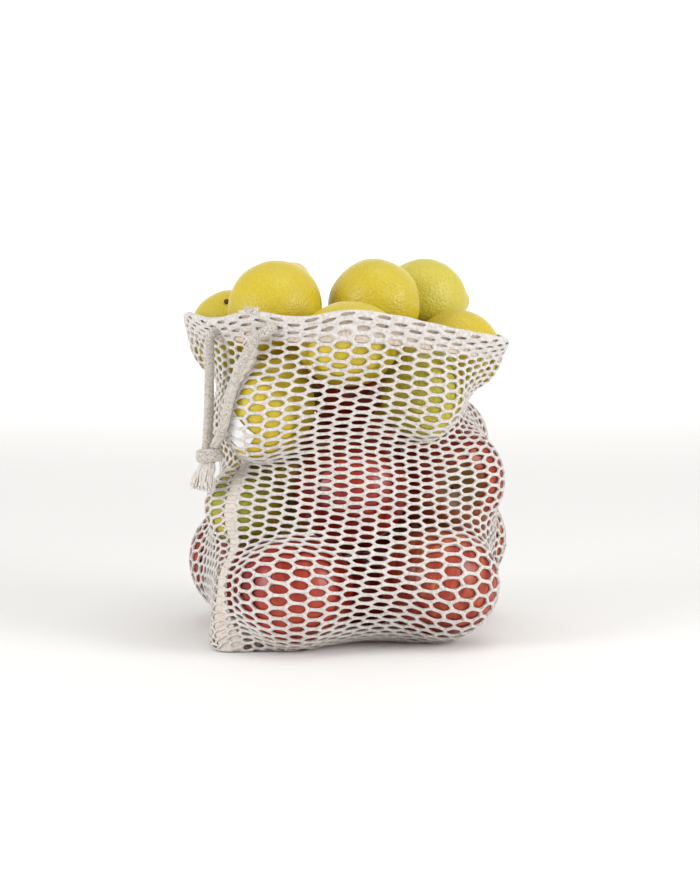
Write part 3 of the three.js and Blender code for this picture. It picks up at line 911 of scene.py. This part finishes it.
def make_fruit():
    """The lemons in the mouth and in the net, the apples, and their stems."""
    peels = {
        "lemon_right_back": LEMON_PALE,
        "lemon_low_left": LEMON_GREEN,
        "lemon_upper_right": LEMON_GREEN,
    }
    for name, fruit in {**TOP_LEMONS, **INNER_LEMONS}.items():
        top = name in TOP_LEMONS
        peel = peels.get(name, LEMON_RIPE)
        detail = BARE_DETAIL if top else VEILED_DETAIL
        made = fruit_piece(name + "_rind", fruit, lemon_outline, peel, detail)
        if top:
            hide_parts(name)
    for name, fruit in APPLES.items():
        skin = APPLE_STREAKED if "right" in name else APPLE_RED
        fruit_piece(name, fruit, apple_outline, skin, VEILED_DETAIL)
    button = TOP_LEMONS["lemon_left_back"]
    spot = [placing(button) @ Vector((0, 0, -button.length + rise)) for rise in BUTTON]
    threads("lemon_stem_button", [np.array(spot)], BUTTON_RADIUS, STEM_WOOD)
    stems = []
    for fruit in APPLES.values():
        bottom = -fruit.length * STEM_BOTTOM
        bent = [(STEM_BEND * k * k, 0.0, bottom - STEM_STEP * k) for k in range(5)]
        stems.append(np.array([placing(fruit) @ Vector(p) for p in bent]))
    threads("apple_stems", stems, STEM_RADIUS, STEM_WOOD)


# The drawstring.
BRAID_PAIRS = 8  # strands that wind each way round the cord
BRAID_PITCH = 0.0150  # length of one turn of a strand
BRAID_STRAND = 0.00062  # radius of a strand
BRAID_LIFT = 0.00028  # how far a strand rises over the two it crosses, and sinks under the next two
BRAID_STEP = 0.0005  # length of a step along a strand
KNOT_STEPS = 130
KNOT_ENDS = 0.35  # share of the knot's radius at which the ends of the wound cord are tucked in
KNOT_OPENING = 8  # how fast they come out from there
KNOT_TUCK = 0.0035  # how far a cord goes on into the knot
HEM_TUCK = 0.0010  # how far inside the hem's middle it starts
EASING = 90  # how often its bends are eased


def braid_paths(line):
    """The strands of a round braid: each passes over two that wind the other way, then under two."""
    along = lengths(line)
    ahead = unit(np.gradient(line, axis=0))
    side = np.zeros_like(line)
    side[0] = unit(np.cross(ahead[0], (0.3, 1.0, 0.2)))  # with a way that no cord starts in
    for i in range(1, len(line)):
        side[i] = unit(side[i - 1] - ahead[i] * (side[i - 1] @ ahead[i]))
    up = np.cross(ahead, side)
    crossing = along / (BRAID_PITCH / (2 * BRAID_PAIRS))
    middle = CORD_DIAMETER / 2 - BRAID_STRAND - BRAID_LIFT
    paths = []
    for way in (1, -1):
        for strand in range(BRAID_PAIRS):
            angle = way * 2 * np.pi * along / BRAID_PITCH + 2 * np.pi * strand / BRAID_PAIRS
            phase = 2 * strand + way * crossing - 0.5
            radius = middle + way * BRAID_LIFT * np.cos(np.pi / 2 * phase)
            around = np.cos(angle)[:, None] * side + np.sin(angle)[:, None] * up
            paths.append(line + radius[:, None] * around)
    return paths


def cord_line(route):
    """A cord's middle line from inside the hem, its length, and the line on into the knot."""
    hem = np.linalg.norm(CLOTH - np.array(route[0]), axis=2)
    nearest = np.unravel_index(hem.argmin(), CLOTH.shape[:2])
    route = (CLOTH[nearest] - CLOTH_OUT[nearest] * HEM_TUCK, *route)
    long = lengths(through(route, 200))[-1]
    line = through(route, int(long / BRAID_STEP) + 1)
    for _ in range(EASING):
        line[1:-1] = (line[:-2] + 2 * line[1:-1] + line[2:]) / 4
    long = lengths(line)[-1]
    tucked = line[-1] + np.arange(1, int(KNOT_TUCK / BRAID_STEP) + 1)[:, None] * (line[-1] - line[-2])
    return line, long, np.concatenate([line, tucked])


def make_drawstring():
    """The knot, which is a cord wound round itself, the tassel below it and the two cords."""
    turns = np.linspace(0, 1, 120)[::6]
    angle = 2 * np.pi * KNOT_TURNS * turns + KNOT_START
    radius = KNOT_TURN_RADIUS * np.minimum(1, KNOT_OPENING * np.minimum(turns, 1 - turns) + KNOT_ENDS)
    wound = np.stack([np.cos(angle) * radius, np.sin(angle) * radius, (turns - 0.5) * KNOT_HEIGHT], axis=1)
    knot_line = through(wound + np.array(KNOT_CENTRE), KNOT_STEPS)
    knot = threads("knot", braid_paths(knot_line), BRAID_STRAND, CORD_COTTON)
    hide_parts("drawstring_knot")
    tassel = make_tassel()
    for name, route, on_it in (("left", CORD_LEFT, [knot, tassel]), ("right", CORD_RIGHT, [])):
        line, long, whole = cord_line(route)
        cord = threads("cord_" + name, braid_paths(whole), BRAID_STRAND, CORD_COTTON)
        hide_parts("drawstring_" + name)


def make_tassel():
    """The frayed ends below the knot: loose yarns that spread and wave a little."""
    side = TASSEL_LEAN.orthogonal().normalized()
    up = TASSEL_LEAN.cross(side)
    yarns = []
    for _ in range(TASSEL_YARNS):
        angle = draw.uniform(0, 2 * math.pi)
        spread = math.sqrt(draw.uniform(0.0, 1.0))
        away = side * math.cos(angle) + up * math.sin(angle)
        long = TASSEL_LENGTH * draw.uniform(*TASSEL_RANGE)
        wave = draw.uniform(-TASSEL_WAVE, TASSEL_WAVE, 2)
        yarn = []
        for t in np.linspace(0, 1, 10):
            radius = spread * (TASSEL_NECK + (TASSEL_SKIRT - TASSEL_NECK) * t**0.8)
            sway = (side * wave[0] + up * wave[1]) * math.sin(5 * t + angle)
            yarn.append(TASSEL_TOP + TASSEL_LEAN * long * t + away * radius + sway)
        yarns.append(np.array(yarn))
    tassel = threads("tassel", yarns, TASSEL_YARN, TASSEL_COTTON)
    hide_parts("drawstring_tassel")
    return tassel


# The studio.
CAMERA_AIM = Vector((0.0018, 0.0, 0.118))
CAMERA_DISTANCE = 1.25
CAMERA_ELEVATION = math.radians(5)
CAMERA_LENS = 87.0
FLOOR_REACH = 4.0
BACKDROP_HEIGHT = 3.0
BACKDROP_BEND = 1.2
SURROUND = 0.62  # strength of the white light from all round
SOFTBOXES = {  # place, what it is aimed at, size, watts
    "key": ((-1.25, -0.75, 0.55), (0, 0, 0.12), (0.7, 0.8), 10.5),
    "top": ((0.2, -0.2, 1.5), (0, 0, 0.1), (0.9, 0.9), 4.0),
    "fill": ((1.25, -0.65, 0.60), (0, 0, 0.12), (0.7, 0.8), 11.5),
    "backdrop": ((0, 2.0, 2.4), (0, 4.0, 1.0), (4.0, 1.0), 60),
}


def make_camera():
    """A long lens, a little above the pouch's middle."""
    camera = add("camera", bpy.data.cameras.new("camera"))
    back = Vector((0, -math.cos(CAMERA_ELEVATION), math.sin(CAMERA_ELEVATION)))
    camera.location = CAMERA_AIM + back * CAMERA_DISTANCE
    camera.rotation_euler = (-back).to_track_quat("-Z", "Y").to_euler()
    camera.data.lens = CAMERA_LENS
    scene.camera = camera


def softbox(name, place, aim, size, watts):
    """A soft, even light."""
    light = bpy.data.lights.new(name, "AREA")
    light.shape = "RECTANGLE"
    light.size, light.size_y = size
    light.energy = watts
    box = add(name, light)
    box.location = place
    box.rotation_euler = (Vector(aim) - Vector(place)).to_track_quat("-Z", "Y").to_euler()


def make_studio():
    """The camera, a white sweep of paper, and the lights."""
    make_camera()
    bm = bmesh.new()
    bmesh.ops.create_grid(bm, x_segments=1, y_segments=1, size=FLOOR_REACH)
    far = [edge for edge in bm.edges if all(vert.co.y > 0 for vert in edge.verts)]
    lifted = bmesh.ops.extrude_edge_only(bm, edges=far)["geom"]
    top = [one for one in lifted if isinstance(one, bmesh.types.BMVert)]
    bmesh.ops.translate(bm, verts=top, vec=(0, 0, BACKDROP_HEIGHT))
    bend = {"offset": BACKDROP_BEND, "segments": 12, "profile": 0.5, "clamp_overlap": True}
    bmesh.ops.bevel(bm, geom=far, affect="EDGES", material=-1, **bend)
    mesh = bpy.data.meshes.new("floor")
    bm.to_mesh(mesh)
    bm.free()
    mesh.materials.append(plain("Matt white studio paper", "#f4f3f1", 0.9))
    mesh.shade_smooth()
    floor = add("floor", mesh)
    world = bpy.data.worlds.new("studio")
    world.use_nodes = True
    white = world.node_tree.nodes["Background"].inputs
    white["Color"].default_value = (1.0, 1.0, 1.0, 1.0)
    white["Strength"].default_value = SURROUND
    scene.world = world
    for name, settings in SOFTBOXES.items():
        softbox(name, *settings)
    scene.view_settings.view_transform = "Standard"


make_studio()
make_drawstring()
make_net()
make_fruit()
